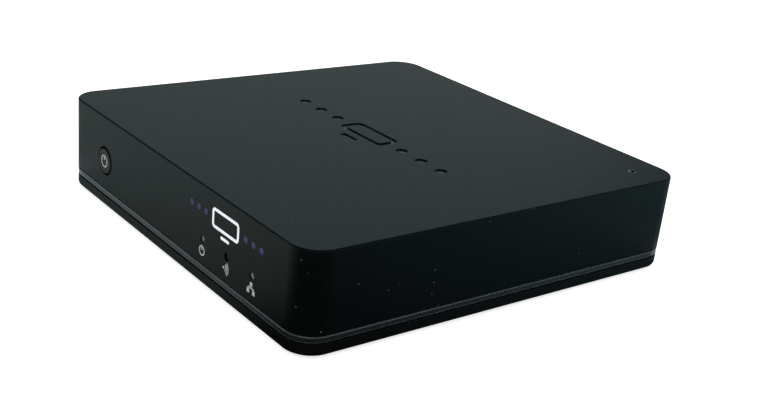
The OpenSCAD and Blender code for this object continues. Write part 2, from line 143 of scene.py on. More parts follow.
def lathe(bm, section, steps=64, matrix=None):
    """Turns a section of (radius, height) points about Z. Both ends are closed."""
    made = []
    loops = []
    for radius, height in section:
        if radius < 1e-9:
            loops.append([bm.verts.new((0, 0, height))])
        else:
            turn = [2 * math.pi * i / steps for i in range(steps)]
            loops.append([bm.verts.new((radius * math.cos(t), radius * math.sin(t), height)) for t in turn])
        made += loops[-1]
    for lower, upper in zip(loops, loops[1:]):
        if len(lower) == 1:
            for i in range(steps):
                bm.faces.new((lower[0], upper[(i + 1) % steps], upper[i]))
        elif len(upper) == 1:
            for i in range(steps):
                bm.faces.new((lower[i], lower[(i + 1) % steps], upper[0]))
        else:
            bridge(bm, lower, upper)
    for loop in (loops[0], loops[-1]):
        if len(loop) > 2:
            bm.faces.new(loop)
    if matrix is not None:
        bmesh.ops.transform(bm, matrix=matrix, verts=made)
    return made


def fillet(cx, cz, radius, start, end, steps=6):
    """Points along an arc, in degrees, as (inset, height). Inset grows inwards, so angle 0 faces out."""
    turns = [math.radians(start + (end - start) * i / steps) for i in range(steps + 1)]
    return [(cx - radius * math.cos(t), cz + radius * math.sin(t)) for t in turns]


def prism(bm, outline, low, high, matrix=None):
    """A straight prism on a closed outline of (x, y) points."""
    bottom = [bm.verts.new((x, y, low)) for x, y in outline]
    top = [bm.verts.new((x, y, high)) for x, y in outline]
    bridge(bm, bottom, top)
    bm.faces.new(bottom)
    bm.faces.new(top)
    if matrix is not None:
        bmesh.ops.transform(bm, matrix=matrix, verts=bottom + top)


def move_new(bm, made, matrix):
    """Moves the vertices that were added after the first made ones."""
    bm.verts.ensure_lookup_table()
    bmesh.ops.transform(bm, matrix=matrix, verts=bm.verts[made:])


def cut(obj, bm, material, operation="DIFFERENCE"):
    """Subtracts separate closed shapes from obj, or adds them. Their faces keep their own material."""
    cutter = new_object(obj.name + "_cutter", bm)
    cutter.data.materials.append(material)
    boolean = obj.modifiers.new("cut", "BOOLEAN")
    boolean.operation = operation
    boolean.solver = "EXACT"
    boolean.object = cutter
    boolean.material_mode = "TRANSFER"
    apply_modifiers(obj)
    bpy.data.objects.remove(cutter)


def apply_modifiers(obj):
    """Puts the result of an object's modifiers into its mesh."""
    bpy.context.view_layer.update()
    graph = bpy.context.evaluated_depsgraph_get()
    mesh = bpy.data.meshes.new_from_object(obj.evaluated_get(graph))
    obj.modifiers.clear()
    obj.data = mesh


def flatten_shading(obj, smooth_angle=35):
    """Keeps large flat faces flat where they meet small roundings."""
    obj.data.shade_smooth()
    obj.data.set_sharp_from_angle(angle=math.radians(smooth_angle))
    weighted = obj.modifiers.new("weighted", "WEIGHTED_NORMAL")
    weighted.keep_sharp = True
    weighted.weight = 100
    apply_modifiers(obj)


def softened(node, name, width, segments=2):
    """A copy of a CAD node's mesh with its edges slightly rounded, which stands for that node."""
    bm = bmesh.new()
    bm.from_mesh(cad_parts[node].data)
    bmesh.ops.remove_doubles(bm, verts=bm.verts, dist=1e-7)
    bmesh.ops.dissolve_limit(bm, angle_limit=math.radians(1), verts=bm.verts, edges=bm.edges)
    obj = new_object(name, bm, 30)
    bevel = obj.modifiers.new("bevel", "BEVEL")
    bevel.width = width
    bevel.segments = segments
    bevel.limit_method = "ANGLE"
    bevel.angle_limit = math.radians(35)
    bevel.harden_normals = False
    apply_modifiers(obj)
    flatten_shading(obj)
    return obj


def settle(obj, body, slot, *nodes, material=None):
    """Hangs the piece under the body it moves with, hides the CAD nodes it stands for and gives it a material
    when one is passed.
    """
    if material is not None:
        obj.data.materials.clear()
        obj.data.materials.append(material)
    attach(obj, body)
    if nodes:
        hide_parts(*nodes)
    return obj


# ---------------------------------------------------------------- materials


class Finish:
    """A Principled material with a few short ways of adding nodes to it."""

    def __init__(self, name, color, roughness, **sockets):
        self.material = bpy.data.materials.new(name)
        self.material.use_nodes = True
        self.tree = self.material.node_tree
        self.shader = self.tree.nodes["Principled BSDF"]
        self.shader.inputs["Base Color"].default_value = (*color, 1)
        self.shader.inputs["Roughness"].default_value = roughness
        for socket, value in sockets.items():
            self.shader.inputs[socket.replace("_", " ")].default_value = value
        self.place = self.tree.nodes.new("ShaderNodeTexCoord").outputs["Object"]
        self.normal = None

    def node(self, kind, **values):
        made = self.tree.nodes.new(kind)
        for key, value in values.items():
            if hasattr(made, key):
                setattr(made, key, value)
            else:
                made.inputs[key.replace("_", " ")].default_value = value
        return made

    def link(self, output, target):
        self.tree.links.new(output, target)

    def noise(self, size, detail=2.0, roughness=0.5, stretch=None):
        """Noise whose features are about size metres across."""
        made = self.node("ShaderNodeTexNoise", Scale=1 / size, Detail=detail, Roughness=roughness)
        place = self.place
        if stretch:
            mapping = self.node("ShaderNodeMapping", Scale=stretch)
            self.link(place, mapping.inputs["Vector"])
            place = mapping.outputs["Vector"]
        self.link(place, made.inputs["Vector"])
        return made.outputs["Fac"]

    def ramp(self, value, low, high, from_low=0.3, from_high=0.7):
        made = self.node("ShaderNodeMapRange", From_Min=from_low, From_Max=from_high, To_Min=low, To_Max=high)
        self.link(value, made.inputs["Value"])
        return made.outputs["Result"]

    def vary_roughness(self, value, low, high, from_low=0.3, from_high=0.7):
        self.link(self.ramp(value, low, high, from_low, from_high), self.shader.inputs["Roughness"])

    def vary_color(self, value, dark, light, from_low=0.3, from_high=0.7):
        mix = self.node("ShaderNodeMix", data_type="RGBA")
        mix.inputs[6].default_value = (*dark, 1)
        mix.inputs[7].default_value = (*light, 1)
        self.link(self.ramp(value, 0, 1, from_low, from_high), mix.inputs[0])
        self.link(mix.outputs[2], self.shader.inputs["Base Color"])
        return mix.outputs[2]

    def bump(self, value, height, strength=1.0):
        made = self.node("ShaderNodeBump", Strength=strength, Distance=height)
        self.link(value, made.inputs["Height"])
        if self.normal is not None:
            self.link(self.normal, made.inputs["Normal"])
        self.normal = made.outputs["Normal"]
        self.link(self.normal, self.shader.inputs["Normal"])


DUST_COLOR = (0.042, 0.046, 0.044)


def moulded_plastic(name, color, roughness, grain, dust=0.0):
    """Black moulded plastic with a fine grain. Where dust is over 0, it has a few pale specks and fibres."""
    finish = Finish(name, color, roughness)
    finish.vary_roughness(finish.noise(0.9 * MM, 3), roughness - 0.02, roughness + 0.02)
    base = finish.vary_color(finish.noise(1.6 * MM, 3, 0.6), color, [c * 1.2 for c in color])
    finish.bump(finish.noise(0.16 * MM, 2), grain)
    if dust:
        for cell, radius, stretch in ((2 * MM, 0.13, (1, 1, 1)), (2.4 * MM, 0.1, (0.3, 1, 1))):
            base = add_specks(finish, base, cell, radius, stretch, dust)
        finish.link(base, finish.shader.inputs["Base Color"])
    return finish.material


def add_specks(finish, base, cell, radius, stretch, dust):
    """Pale spots about a cell apart. Only some cells have one, and each has its own strength."""
    mapping = finish.node("ShaderNodeMapping", Scale=stretch)
    finish.link(finish.place, mapping.inputs["Vector"])
    cells = finish.node("ShaderNodeTexVoronoi", feature="F1", Scale=1 / cell)
    finish.link(mapping.outputs["Vector"], cells.inputs["Vector"])
    split = finish.node("ShaderNodeSeparateColor")
    finish.link(cells.outputs["Color"], split.inputs["Color"])
    spot = finish.ramp(cells.outputs["Distance"], 1, 0, radius * 0.5, radius)
    present = finish.ramp(split.outputs["Green"], 0, dust, 0.84, 0.95)
    strength = finish.node("ShaderNodeMath", operation="MULTIPLY")
    finish.link(spot, strength.inputs[0])
    finish.link(present, strength.inputs[1])
    mix = finish.node("ShaderNodeMix", data_type="RGBA")
    mix.inputs[7].default_value = (*DUST_COLOR, 1)
    finish.link(strength.outputs[0], mix.inputs[0])
    finish.link(base, mix.inputs[6])
    return mix.outputs[2]


def plain(name, color, roughness, grain=0.0, size=0.3 * MM, **sockets):
    """A simple surface with a little variation in colour and gloss."""
    finish = Finish(name, color, roughness, **sockets)
    finish.vary_color(finish.noise(5 * MM, 3), [c * 0.88 for c in color], [min(c * 1.1, 1) for c in color])
    finish.vary_roughness(finish.noise(3 * MM, 3), roughness * 0.85, min(roughness * 1.15, 1))
    if grain:
        finish.bump(finish.noise(size, 2), grain)
    return finish.material


def metal(name, color, roughness, stretch=(1, 1, 1)):
    """Sheet or turned metal with fine drawing marks."""
    finish = Finish(name, color, roughness, Metallic=1.0)
    marks = finish.noise(0.6 * MM, 3, 0.6, stretch)
    finish.vary_roughness(marks, roughness * 0.75, roughness * 1.3)
    finish.bump(marks, 0.004 * MM)
    return finish.material


def laminate(name, mask, track):
    """A circuit board: solder mask with paler tracks that show through it."""
    finish = Finish(name, mask, 0.35, Coat_Weight=0.4, Coat_Roughness=0.15)
    pitch = 3 * MM
    cells = finish.node("ShaderNodeTexVoronoi", feature="DISTANCE_TO_EDGE", distance="MANHATTAN",
                        Scale=1 / pitch)
    finish.link(finish.place, cells.inputs["Vector"])
    finish.vary_color(cells.outputs["Distance"], track, mask, 0.03, 0.06)
    return finish.material


def ink(name, color):
    """Pad-printed ink, slightly uneven at its scale."""
    finish = Finish(name, color, 0.5)
    finish.vary_color(finish.noise(0.15 * MM, 2), [c * 0.8 for c in color], color)
    return finish.material


def clear_resin(name, color, roughness):
    """Clear moulded plastic that lets light through, as in the light guides."""
    finish = Finish(name, color, roughness, Transmission_Weight=0.85, IOR=1.49)
    finish.vary_roughness(finish.noise(1 * MM, 2), roughness * 0.8, roughness * 1.3)
    return finish.material


SHELL = moulded_plastic("shell_plastic", (0.0003, 0.0011, 0.0016), 0.44, 0.006 * MM, dust=1.0)
SMOOTH = plain("polished_cut_plastic", (0.003, 0.0035, 0.0035), 0.3, 0.001 * MM, Specular_IOR_Level=0.75)
POLISHED = plain("polished_dimple_rim", (0.003, 0.0035, 0.0035), 0.16, Specular_IOR_Level=1.0)
BASE = moulded_plastic("base_plastic", (0.0012, 0.0014, 0.0016), 0.46, 0.008 * MM)
BAND = plain("metallic_band", (0.155, 0.163, 0.167), 0.26, 0.001 * MM,
             Metallic=0.96, Coat_Weight=0.5, Coat_Roughness=0.1)
# A lighter copy of the band metal for the faces along both band edges: painted highlight lines.
BAND_EDGE_HIGHLIGHT = plain("band_edge_painted_highlight", (0.3, 0.31, 0.31), 0.22, 0.001 * MM, Metallic=0.92)
BUTTON = plain("button_plastic", (0.004, 0.0045, 0.0045), 0.4, 0.004 * MM, 0.2 * MM)
RUBBER = plain("foot_rubber", (0.012, 0.012, 0.012), 0.8, 0.02 * MM, 0.4 * MM)
WHITE_INK = ink("white_ink", (0.86, 0.86, 0.9))
VIOLET_INK = ink("grey_violet_ink", (0.036, 0.029, 0.115))
ICON_INK = ink("icon_ink", (0.36, 0.38, 0.36))
LABEL = plain("label_foil", (0.42, 0.43, 0.44), 0.38, 0.003 * MM, 0.8 * MM)
TIN = metal("tinned_sheet", (0.62, 0.62, 0.63), 0.28, (1, 0.1, 1))
ZINC = metal("zinc_screw", (0.30, 0.30, 0.31), 0.34)
ALUMINIUM = metal("extruded_aluminium", (0.62, 0.63, 0.65), 0.38, (1, 0.08, 1))
GOLD = metal("gold_flash", (0.83, 0.62, 0.24), 0.25)
SOCKET = plain("socket_plastic", (0.014, 0.014, 0.015), 0.42, 0.004 * MM)
SOCKET_LIGHT = plain("socket_plastic_light", (0.6, 0.6, 0.58), 0.4, 0.004 * MM)
CHIP = plain("chip_resin", (0.022, 0.022, 0.024), 0.55, 0.008 * MM, 0.25 * MM)
FERRITE = plain("ferrite", (0.05, 0.05, 0.055), 0.6, 0.012 * MM)
NYLON = plain("nylon", (0.62, 0.61, 0.57), 0.45, 0.004 * MM)
PAD = plain("silicone_pad", (0.36, 0.42, 0.48), 0.7, 0.01 * MM)
CERAMIC = plain("ceramic", (0.25, 0.17, 0.1), 0.5, 0.005 * MM)
BOARD = laminate("board_laminate", (0.008, 0.05, 0.026), (0.02, 0.12, 0.055))
CLEAR = clear_resin("clear_resin", (0.75, 0.8, 0.8), 0.12)
LED_RESIN = plain("led_resin", (0.72, 0.68, 0.4), 0.3)
INFRARED = plain("infrared_plastic", (0.014, 0.005, 0.007), 0.2, 0.001 * MM)

# ---------------------------------------------------------------- camera, light and floor


def set_camera():
    """The camera stands in front and to the right, a little above the box, and is rolled slightly."""
    place = (0.2215, -0.1741, 0.1164)
    azimuth, elevation, roll = (math.radians(a) for a in (50.68, 21.53, 6.04))
    data = bpy.data.cameras.new("camera")
    data.sensor_width = 36
    data.lens = 55.48
    data.clip_start = 0.01
    camera = bpy.data.objects.new("camera", data)
    turn = Matrix.Rotation(azimuth, 4, "Z") @ Matrix.Rotation(math.pi / 2 - elevation, 4, "X")
    camera.matrix_world = Matrix.Translation(place) @ turn @ Matrix.Rotation(roll, 4, "Z")
    bpy.context.scene.collection.objects.link(camera)
    bpy.context.scene.camera = camera


def area_light(name, place, target, width, height, power, color):
    """A rectangular light that faces a target and isn't seen by the camera."""
    data = bpy.data.lights.new(name, "AREA")
    data.shape = "RECTANGLE"
    data.size = width
    data.size_y = height
    data.energy = power
    data.color = color
    light = bpy.data.objects.new(name, data)
    light.location = place
    light.rotation_euler = (Vector(target) - Vector(place)).to_track_quat("-Z", "Y").to_euler()
    light.visible_camera = False
    bpy.context.scene.collection.objects.link(light)


def set_light():
    """Soft lights all round a white room, strongest behind on the left.
    The box mirrors the room itself as nearly dark."""
    middle = (0, 0, 0.02)
    cool = (0.9, 1.0, 1.0)
    lights = (
        ("back_softbox", (-0.84, 0.56, 0.36), 0.9, 0.66, 0.84, (0.865, 1.0, 0.94)),
        ("rear_card", (0.25, 1.0, 0.26), 0.8, 0.5, 0.6, cool),
        ("right_card", (0.95, 0.3, 0.26), 0.8, 0.4, 0.25, cool),
        ("front_right_card", (0.75, -0.68, 0.3), 0.9, 0.45, 0.55, cool),
        ("front_left_card", (-0.7, -0.75, 0.3), 0.9, 0.4, 0.25, cool),
    )
    for name, place, width, height, power, color in lights:
        area_light(name, place, middle, width, height, power, color)
    world = bpy.data.worlds.new("studio")
    world.use_nodes = True
    tree = world.node_tree
    room = tree.nodes["Background"]
    room.inputs["Color"].default_value = (1, 1, 1, 1)
    mirrored = tree.nodes.new("ShaderNodeBackground")
    mirrored.inputs["Color"].default_value = (0.12, 0.62, 1.0, 1)
    mirrored.inputs["Strength"].default_value = 0.06
    mix = tree.nodes.new("ShaderNodeMixShader")
    path = tree.nodes.new("ShaderNodeLightPath")
    tree.links.new(path.outputs["Is Glossy Ray"], mix.inputs[0])
    tree.links.new(room.outputs[0], mix.inputs[1])
    tree.links.new(mirrored.outputs[0], mix.inputs[2])
    tree.links.new(mix.outputs[0], tree.nodes["World Output"].inputs["Surface"])
    bpy.context.scene.world = world
    bpy.context.scene.view_settings.view_transform = "Standard"


def table_glow(table, place, stops, shade, color):
    """A light that the box mirrors from the table. Its strength follows stops of (metres, strength)."""
    start, end = stops[0][0], stops[-1][0]
    ramp = table.node("ShaderNodeValToRGB")
    points = ramp.color_ramp.elements
    for i, (spot, strength) in enumerate(stops):
        if 0 < i < len(stops) - 1:
            points.new((spot - start) / (end - start))
        points[i].position = (spot - start) / (end - start)
        points[i].color = (strength, strength, strength, 1)
    table.link(table.ramp(place, 0, 1, start, end), ramp.inputs["Fac"])
    strength = table.node("ShaderNodeMath", operation="MULTIPLY")
    table.link(ramp.outputs["Color"], strength.inputs[0])
    table.link(shade, strength.inputs[1])
    light = table.node("ShaderNodeEmission")
    light.inputs["Color"].default_value = (*color, 1)
    table.link(strength.outputs[0], light.inputs["Strength"])
    return light.outputs[0]


def distance_out(table, across, along):
    """The larger of the two distances from the box's middle planes."""
    far = table.node("ShaderNodeMath", operation="MAXIMUM")
    for place, target in ((across, far.inputs[0]), (along, far.inputs[1])):
        size = table.node("ShaderNodeMath", operation="ABSOLUTE")
        table.link(place, size.inputs[0])
        table.link(size.outputs[0], target)
    return far.outputs[0]


def corner_share(table, across, along):
    """1 past the front left and back right corners, on the side away from the camera, and 0 elsewhere."""
    total = table.node("ShaderNodeMath", operation="ADD")
    gap = table.node("ShaderNodeMath", operation="SUBTRACT")
    for made, first, second in ((total, across, along), (gap, along, across)):
        table.link(first, made.inputs[0])
        table.link(second, made.inputs[1])
    size = table.node("ShaderNodeMath", operation="ABSOLUTE")
    table.link(total.outputs[0], size.inputs[0])
    share = table.node("ShaderNodeMath", operation="MULTIPLY")
    table.link(table.ramp(size.outputs[0], 0, 1, 0.1, 0.115), share.inputs[0])
    table.link(table.ramp(gap.outputs[0], 0, 1, -0.004, 0.002), share.inputs[1])
    return share.outputs[0]


def set_floor():
    """A wide white table. The box mirrors it as lit on the left, dim at the back right, dark at the near
    corner and with a glow just past the front left and back right corners."""
    bm = bmesh.new()
    reach = 4.0
    sweep(bm, reach, reach, 1.0, [(0, -2 * MM), (0, -0.02 * MM)], steps=12)
    floor = new_object("floor", bm)
    table = Finish("white_table", (0.8, 0.8, 0.8), 0.9, Specular_IOR_Level=0.0)
    split = table.node("ShaderNodeSeparateXYZ")
    table.link(table.place, split.inputs[0])
    across, along = split.outputs["X"], split.outputs["Y"]
    far = distance_out(table, across, along)
    shade = table.ramp(far, 0.5, 1.0, HALF, HALF + 40 * MM)
    left = ((-0.09, 0.46), (-0.05, 0.5), (0.018, 0.31), (0.042, 0.0))
    right = ((-0.05, 0.0), (0.12, 0.3))
    corner_glow = 0.35
    strip = ((0.057, 0.0), (0.061, corner_glow), (0.067, corner_glow), (0.072, 0.0))
    sides = table.node("ShaderNodeAddShader")
    table.link(table_glow(table, across, left, shade, (0.8, 1.0, 0.96)), sides.inputs[0])
    table.link(table_glow(table, along, right, shade, (0.5, 0.92, 1.0)), sides.inputs[1])
    mirrored = table.node("ShaderNodeAddShader")
    table.link(sides.outputs[0], mirrored.inputs[0])
    corners = corner_share(table, across, along)
    table.link(table_glow(table, far, strip, corners, (0.9, 1.0, 1.0)), mirrored.inputs[1])
    table.shader.inputs["Emission Color"].default_value = (1, 1, 1, 1)
    table.shader.inputs["Emission Strength"].default_value = 0.68
    path = table.node("ShaderNodeLightPath")
    mix = table.node("ShaderNodeMixShader")
    table.link(path.outputs["Is Glossy Ray"], mix.inputs[0])
    table.link(table.shader.outputs[0], mix.inputs[1])
    table.link(mirrored.outputs[0], mix.inputs[2])
    table.link(mix.outputs[0], table.tree.nodes["Material Output"].inputs["Surface"])
    floor.data.materials.append(table.material)


# ---------------------------------------------------------------- top cover


def front_matrix(x, z):
    """Places a shape's XY plane on the leaning front face with its Z axis pointing out of it."""
    inset = DRAFT * (TOP_Z - z) / SIDE_H
    place = Matrix.Translation((x, -HALF + inset, z))
    return place @ Matrix.Rotation(math.pi / 2 + DRAFT_ANGLE, 4, "X")


def rear_matrix(x, z):
    """The same on the leaning rear face."""
    inset = DRAFT * (TOP_Z - z) / SIDE_H
    place = Matrix.Translation((x, HALF - inset, z))
    return place @ Matrix.Rotation(math.pi, 4, "Z") @ Matrix.Rotation(math.pi / 2 + DRAFT_ANGLE, 4, "X")


def round_cutter(bm, matrix, radius, depth, edge):
    """A round hole with a softly rounded mouth."""
    turns = [math.radians(a) for a in (0, 30, 60, 90)]
    mouth = [(radius + edge * (1 - math.cos(t)), -edge + edge * math.sin(t)) for t in turns]
    lathe(bm, [(radius, -depth)] + mouth + [(radius + edge, 1 * MM)], matrix=matrix)


def window_cutter(bm, matrix, width, height, depth, edge, radius=0.6 * MM):
    """A rounded rectangular opening with a small chamfer at its mouth."""
    made = len(bm.verts)
    section = [(0, -depth), (0, -edge), (-edge, 0), (-edge, 1 * MM)]
    sweep(bm, width / 2, height / 2, radius, section, steps=8)
    move_new(bm, made, matrix)


def top_marks(bm):
    """The shallow cut marks on the top: a screen on its foot between two rows of dots."""
    depth, edge, line = 0.35 * MM, 0.05 * MM, 1.5 * MM
    width = 17 * MM
    height = width * SCREEN_SHAPE
    dot_r, first_dot, dot_pitch = 1.5 * MM, 5 * MM, 7.5 * MM
    low, high = TOP_Z - depth, TOP_Z + 1 * MM
    groove = [(0, low), (0, TOP_Z - edge), (-edge, TOP_Z), (-edge, high),
              (line + edge, high), (line + edge, TOP_Z), (line, TOP_Z - edge), (line, low)]
    sweep(bm, width / 2, height / 2, line * 1.5, groove, steps=10, closed=True)
    foot = Matrix.Translation((0, -height / 2 - 1.7 * line, TOP_Z))
    window_cutter(bm, foot, width * 0.32, line, depth, edge, radius=0.1 * MM)
    dot = [(dot_r, -depth), (dot_r, -edge), (dot_r + edge, 0), (dot_r + edge, 1 * MM)]
    for side in (-1, 1):
        for i in range(3):
            spot = Matrix.Translation((side * (width / 2 + first_dot + dot_pitch * i), 0, TOP_Z))
            lathe(bm, dot, steps=48, matrix=spot)


def dimple_section():
    """The tiny crater near the back right corner of the top, as (radius, height) points."""
    rim = [(0, -0.25), (0.4, -0.2), (0.58, 0.02), (0.66, 0.08), (0.74, 0.09), (1.1, 0.045), (1.3, -0.02)]
    return [(radius * MM, height * MM) for radius, height in rim + [(1.3, -0.6), (0, -0.6)]]


def build_cover():
    """The shell with its holes, windows and cut marks."""
    section = [(WALL, TOP_Z - TOP_T), (WALL, RING_HI.z), (DRAFT + GROOVE_DEPTH, RING_HI.z),
               (DRAFT + GROOVE_DEPTH, SHELL_Z)]
    low_edge = 0.15 * MM
    section += fillet(DRAFT + low_edge, SHELL_Z + low_edge, low_edge, -90, 0, 4)
    section += fillet(TOP_EDGE_R, TOP_Z - TOP_EDGE_R, TOP_EDGE_R, 0, 90, 8)
    bm = bmesh.new()
    sweep(bm, HALF, HALF, CORNER_R, section, steps=32)
    cover = new_object("top_cover_shell", bm)
    cover.data.materials.append(SHELL)

    cutters = bmesh.new()
    front_depth, rear_depth, rear_edge = 5 * MM, 4 * MM, 0.3 * MM
    button, pin = centre("power_button"), centre("power_inlet_pin")
    round_cutter(cutters, front_matrix(button.x, button.z), BUTTON_HOLE_R, front_depth, 0.06 * MM)
    for node in ("power_light_guide", "infrared_window", "network_light_guide"):
        place = front_matrix(centre(node).x, LIGHT_Z)
        round_cutter(cutters, place, LIGHT_HOLE_R, front_depth, 0.08 * MM)
    for x, z, radius in ((pin.x, pin.z, 4.6 * MM), (centre("av_jack").x, AV_Z, 3.6 * MM)):
        round_cutter(cutters, rear_matrix(x, z), radius, rear_depth, rear_edge)
    for node, width, height in (("video_socket_shell", 16.4, 7.2), ("network_jack_shield", 16.6, 12.0),
                                ("usb_shell_1", 14.2, 6.8), ("usb_shell_2", 14.2, 6.8)):
        spot = centre(node)
        place = rear_matrix(spot.x, spot.z)
        window_cutter(cutters, place, width * MM, height * MM, rear_depth, rear_edge)
    cut(cover, cutters, SHELL)

    marks = bmesh.new()
    top_marks(marks)
    dimple, dimple_r = Matrix.Translation((47.3 * MM, 45.4 * MM, TOP_Z)), 0.85 * MM
    lathe(marks, [(dimple_r, -0.4 * MM), (dimple_r, 1 * MM)], steps=32, matrix=dimple)
    cut(cover, marks, SMOOTH)
    crater = bmesh.new()
    lathe(crater, dimple_section(), steps=48, matrix=dimple)
    cut(cover, crater, POLISHED, "UNION")
    flatten_shading(cover)
    settle(cover, "housing", "cover_plastic", "top_cover")


# ---------------------------------------------------------------- ring, base and feet


def build_ring():
    """The gloss band: rounded at both edges, very slightly hollow between them. Its edge faces carry a
    lighter copy of its metal as a painted highlight.
    """
    edge, hollow, flat_half = 0.3 * MM, 0.06 * MM, 0.25 * MM
    low, high = RING_LO.z, RING_HI.z
    middle = (low + high) / 2
    outer = fillet(SIDE_INSET + edge, low + edge, edge, -90, 0)
    outer += [(SIDE_INSET + hollow, middle - flat_half), (SIDE_INSET + hollow, middle + flat_half)]
    outer += fillet(SIDE_INSET + edge, high - edge, edge, 0, 90)
    section = [(WALL, low)] + outer + [(WALL, high)]
    bm = bmesh.new()
    sweep(bm, HALF, HALF, CORNER_R, section, steps=32, closed=True)
    # Faces near either edge take the lighter band metal, which paints a highlight line along each edge.
    for face in bm.faces:
        height = face.calc_center_median().z
        if min(height - low, high - height) < edge:
            face.material_index = 1
    ring = new_object("gloss_trim_band", bm, 60)
    ring.data.materials.append(BAND)
    ring.data.materials.append(BAND_EDGE_HIGHLIGHT)
    flatten_shading(ring, 60)
    settle(ring, "housing", "ring_plastic", "trim_ring")


def build_base():
    """The tray with its locating lip, vents, label recess, foot recesses and counterbores."""
    edge, top_edge, lip_edge = 1.1 * MM, 0.12 * MM, 0.3 * MM
    low, lip_z = BASE_LO.z, BASE_HI.z
    section = [(LIP_IN, low + FLOOR_T), (LIP_IN, lip_z - lip_edge), (LIP_IN - lip_edge, lip_z),
               (LIP_OUT + lip_edge, lip_z), (LIP_OUT, lip_z - lip_edge), (LIP_OUT, RING_LO.z),
               (SIDE_INSET + GROOVE_DEPTH, RING_LO.z), (SIDE_INSET + GROOVE_DEPTH, BASE_TOP_Z)]
    section += fillet(SIDE_INSET + top_edge, BASE_TOP_Z - top_edge, top_edge, 90, 0, 4)
    section += fillet(SIDE_INSET + edge, low + edge, edge, 0, -90, 10)
    bm = bmesh.new()
    sweep(bm, HALF, HALF, CORNER_R, section, steps=32)
    base = new_object("base_tray_shell", bm)
    base.data.materials.append(BASE)

    def under(x, y):
        """Places a shape's XY plane on the underside with its Z axis pointing down."""
        return Matrix.Translation((x, y, low)) @ Matrix.Rotation(math.pi, 4, "X")

    vent_pitch, vent_row_y, vent_w, vent_l = 4.6 * MM, 24 * MM, 1.8 * MM, 15 * MM
    label, label_gap = LABEL_HI - LABEL_LO, 0.4 * MM
    foot, foot_recess_r, counterbore_r = centre("foot_front_right"), 5.6 * MM, 2.7 * MM
    cutters = bmesh.new()
    for row in (-1, 1):
        for i in range(-5, 6):
            place = under(i * vent_pitch, row * vent_row_y)
            window_cutter(cutters, place, vent_w, vent_l, 3 * MM, 0.2 * MM, radius=0.89 * MM)
    width, height = label.x + label_gap, label.y + label_gap
    window_cutter(cutters, under(0, 0), width, height, 0.2 * MM, 0.05 * MM, radius=1.2 * MM)
    for sx in (-1, 1):
        for sy in (-1, 1):
            place = under(sx * foot.x, sy * abs(foot.y))
            round_cutter(cutters, place, foot_recess_r, 0.6 * MM, 0.15 * MM)
        for y in CASE_SCREW_Y:
            round_cutter(cutters, under(sx * CASE_SCREW_X, y), counterbore_r, 1.7 * MM, 0.2 * MM)
    cut(base, cutters, BASE)
    flatten_shading(base)
    settle(base, "housing", "base_plastic", "base_tray")


def build_feet():
    """Rubber discs with a rounded rim and a shallow dish underneath."""
    for node in ("foot_front_left", "foot_front_right", "foot_rear_left", "foot_rear_right"):
        low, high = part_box(node)
        spot = (low + high) / 2
        radius, top, rim, dish = (high.x - low.x) / 2, high.z, 0.45 * MM, 0.15 * MM
        turns = [math.radians(a) for a in (0, 22, 45, 68, 90)]
        rounded = [(radius - rim + rim * math.sin(t), rim - rim * math.cos(t)) for t in turns]
        section = [(0, dish), (radius - 1.6 * MM, dish), (radius - 1.3 * MM, 0)] + rounded
        bm = bmesh.new()
        lathe(bm, section + [(radius, top), (0, top)], matrix=Matrix.Translation((spot.x, spot.y, 0)))
        foot = new_object("rubber_" + node, bm)
        flatten_shading(foot)
        settle(foot, "housing", "foot_rubber", node, material=RUBBER)


def build_label():
    """A blank foil label with round corners and a faint raised border."""
    width, depth = LABEL_HI.x - LABEL_LO.x, LABEL_HI.y - LABEL_LO.y
    low, high = LABEL_LO.z, LABEL_HI.z
    edge, border = 0.04 * MM, 0.9 * MM
    section = [(0, high), (0, low + edge), (edge, low), (border, low), (border + 0.05 * MM, low + 0.03 * MM)]
    bm = bmesh.new()
    sweep(bm, width / 2, depth / 2, 1 * MM, section, steps=8)
    label = new_object("blank_label", bm)
    flatten_shading(label)
    settle(label, "housing", "label_sheet", "rating_label", material=LABEL)


# ---------------------------------------------------------------- power button


def build_button():
    """The cap with its dished face, its flange behind the front wall and its stem towards the switch."""
    button = centre("power_button")
    front, length = CAP_LO.y, CAP_HI.y - CAP_LO.y
    cap_r, edge, dish = 3.22 * MM, 0.25 * MM, 0.05 * MM
    flange_r, flange_t, flange_edge = 4.5 * MM, 1 * MM, 0.1 * MM
    stem_r, stem_edge = 1.2 * MM, 0.2 * MM
    flange_z = front + HALF - WALL - 0.15 * MM
    flange_end = flange_z - flange_t
    turns = [math.radians(a) for a in (0, 18, 36, 54, 72, 90)]
    section = [(0, -dish), (1.6 * MM, -dish * 0.8), (2.4 * MM, -dish * 0.3)]
    section += [(cap_r - edge + edge * math.sin(t), -edge + edge * math.cos(t)) for t in turns]
    section += [(cap_r, flange_z), (flange_r - flange_edge, flange_z), (flange_r, flange_z - flange_edge)]
    section += [(flange_r, flange_end), (stem_r, flange_end), (stem_r, -length + stem_edge)]
    section += [(stem_r - stem_edge, -length), (0, -length)]
    place = Matrix.Translation((button.x, front, button.z)) @ Matrix.Rotation(math.pi / 2, 4, "X")
    bm = bmesh.new()
    lathe(bm, section[::-1], steps=96, matrix=place)
    cap = new_object("power_button_cap", bm)
    flatten_shading(cap)
    settle(cap, "power_button", "button_plastic", "power_button", material=BUTTON)


def arc_band(bm, radius, line, start, end, low, high, matrix, steps=40):
    """A flat curved stroke from start to end, in degrees, with round ends."""
    outer, inner = radius + line / 2, radius - line / 2
    turns = [math.radians(start + (end - start) * i / steps) for i in range(steps + 1)]
    outline = [(outer * math.cos(t), outer * math.sin(t)) for t in turns]
    outline += round_end(radius, turns[-1], line / 2, 1)
    outline += [(inner * math.cos(t), inner * math.sin(t)) for t in turns[::-1]]
    outline += round_end(radius, turns[0], line / 2, -1)
    prism(bm, outline, low, high, matrix)


